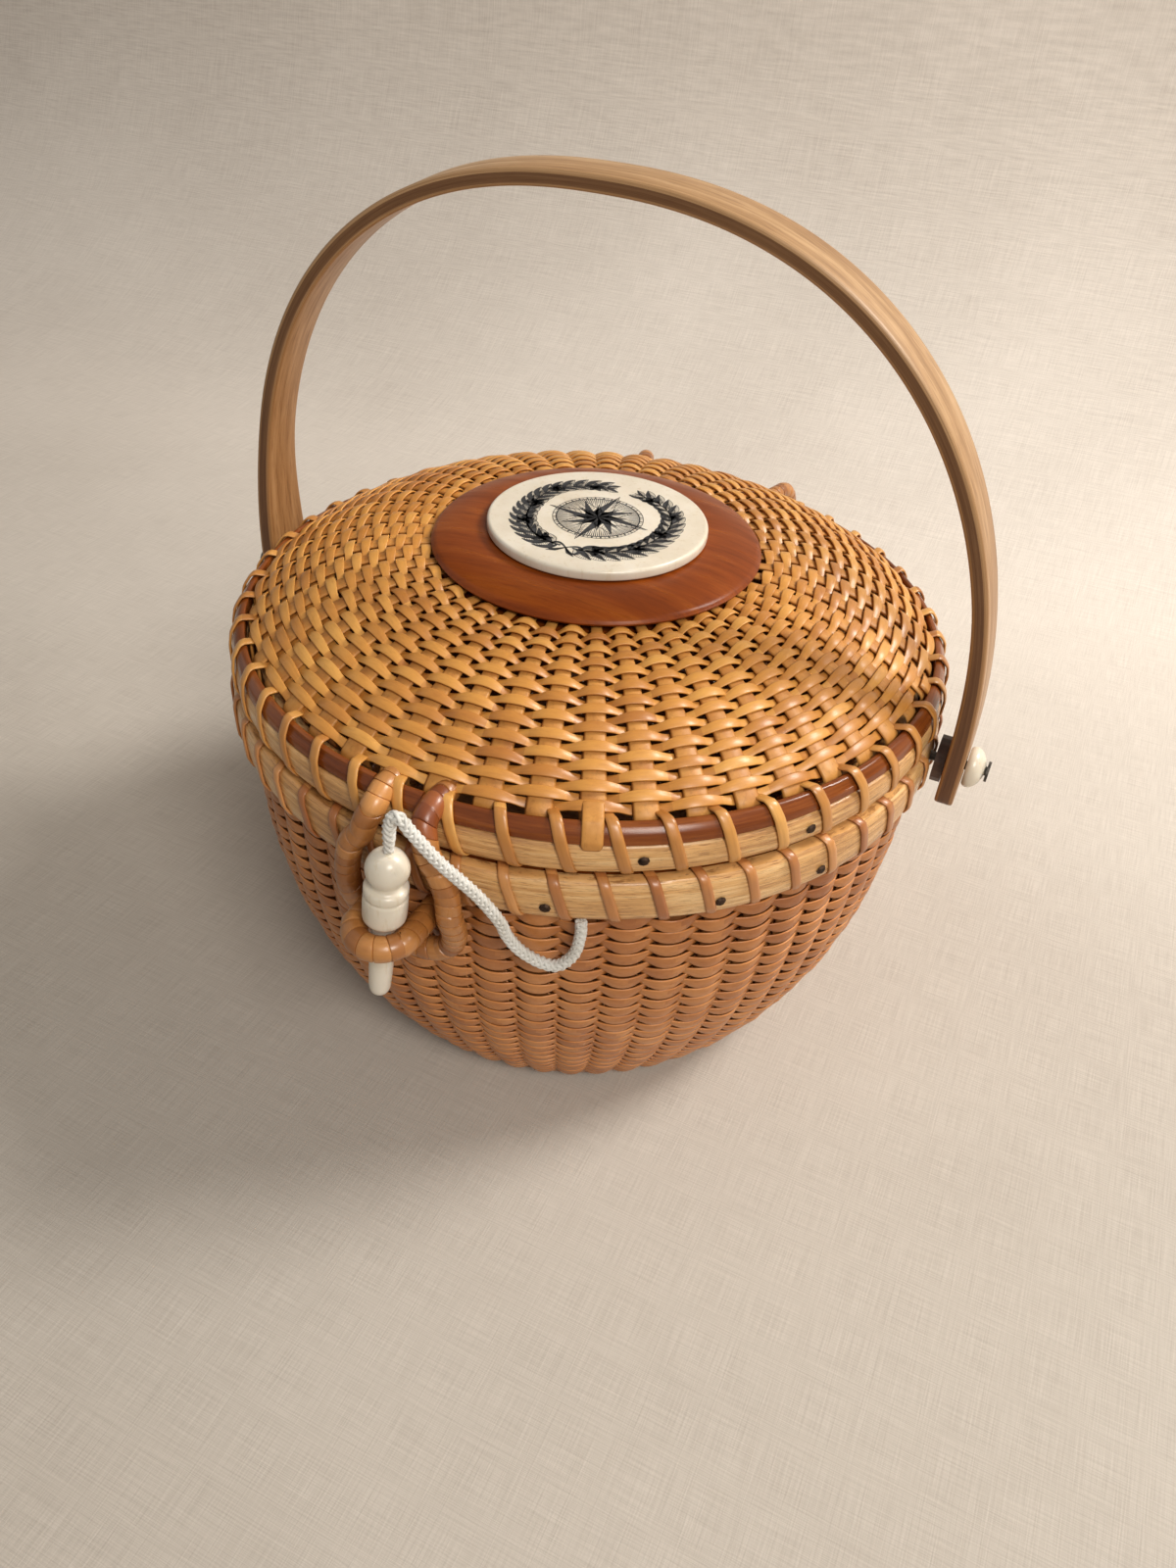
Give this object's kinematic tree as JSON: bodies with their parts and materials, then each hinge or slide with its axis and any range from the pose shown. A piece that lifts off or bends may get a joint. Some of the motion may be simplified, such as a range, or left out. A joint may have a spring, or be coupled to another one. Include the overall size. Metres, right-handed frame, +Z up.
{
  "type": "lidded woven basket purse",
  "caption": "Round woven cane basket with a hinged domed lid, a bent wooden swing handle, a wrapped loop clasp with a bone peg on a cord, and an engraved lid plaque.",
  "frame": {"origin": "centre of the base's resting face", "axes": "+Z up; -Y towards the clasp at the front; X along the handle's pins, +X to the right as seen from the front"},
  "size_m": [0.2328, 0.226, 0.2366],
  "materials": {
    "body_cane": "semi-gloss, warm tan",
    "lid_cane": "glossy, golden tan",
    "hoop_wood": "glossy, pale with open grain",
    "strip_wood": "glossy, dark red-brown",
    "lashing_cane": "glossy, tan",
    "plate_wood": "polished, dark red-brown",
    "base_wood": "satin",
    "handle_wood": "satin, light brown",
    "dark_wood": "satin, walnut",
    "bone": "polished cream bone",
    "wrapped_cane": "semi-gloss wound cane",
    "pin_metal": "dark, satin",
    "nail_metal": "dark, dull",
    "cord_braid": "white silky braid"
  },
  "bodies": {
    "basket": {"basket_base": "base_wood", "basket_wall": "body_cane", "basket_outer_hoop": "hoop_wood", "basket_inner_hoop": "hoop_wood", "basket_rim_filler": "strip_wood", "basket_lashing": "lashing_cane", "basket_nail_1": "nail_metal", "basket_nail_2": "nail_metal", "basket_nail_3": "nail_metal", "staple_ring": "wrapped_cane", "hinge_loop_left": "wrapped_cane", "hinge_loop_right": "wrapped_cane", "handle_knob_left": "bone", "handle_knob_right": "bone", "handle_pin_left": "pin_metal", "handle_pin_right": "pin_metal", "handle_spacer_left": "dark_wood", "handle_spacer_right": "dark_wood", "peg_cord": "cord_braid"},
    "lid": {"lid_weave": "lid_cane", "lid_outer_hoop": "hoop_wood", "lid_edge_strip": "strip_wood", "lid_inner_hoop": "hoop_wood", "lid_rim_filler": "strip_wood", "lid_lashing": "lashing_cane", "lid_plate": "plate_wood", "lid_plaque": "bone", "lid_nail_1": "nail_metal", "lid_nail_2": "nail_metal"},
    "hasp": {"hasp_loop": "wrapped_cane"},
    "peg": {"peg": "bone"},
    "handle": {"handle": "handle_wood"}
  },
  "joints": [
    {"name": "lid_hinge", "type": "hinge", "parent": "basket", "child": "lid", "pos_m": [0, 0.1019, 0.111], "axis": [-1, 0, 0], "range_deg": [0, 18], "deforming": ["hinge_loop_left", "hinge_loop_right", "hasp_loop"]},
    {"name": "hasp_swing", "type": "hinge", "parent": "lid", "child": "hasp", "pos_m": [0, -0.0979, 0.12355], "axis": [-1, 0, 0], "range_deg": [0, 80], "deforming": ["hasp_loop"]},
    {"name": "peg_pull", "type": "slide", "parent": "basket", "child": "peg", "axis": [0.1219, 0, 0.9925], "range_m": [0, 0.045], "deforming": ["peg_cord"]},
    {"name": "handle_swing", "type": "hinge", "parent": "basket", "child": "handle", "pos_m": [0, 0, 0.1068], "axis": [1, 0, 0], "range_deg": [-95, 95]}
  ]
}
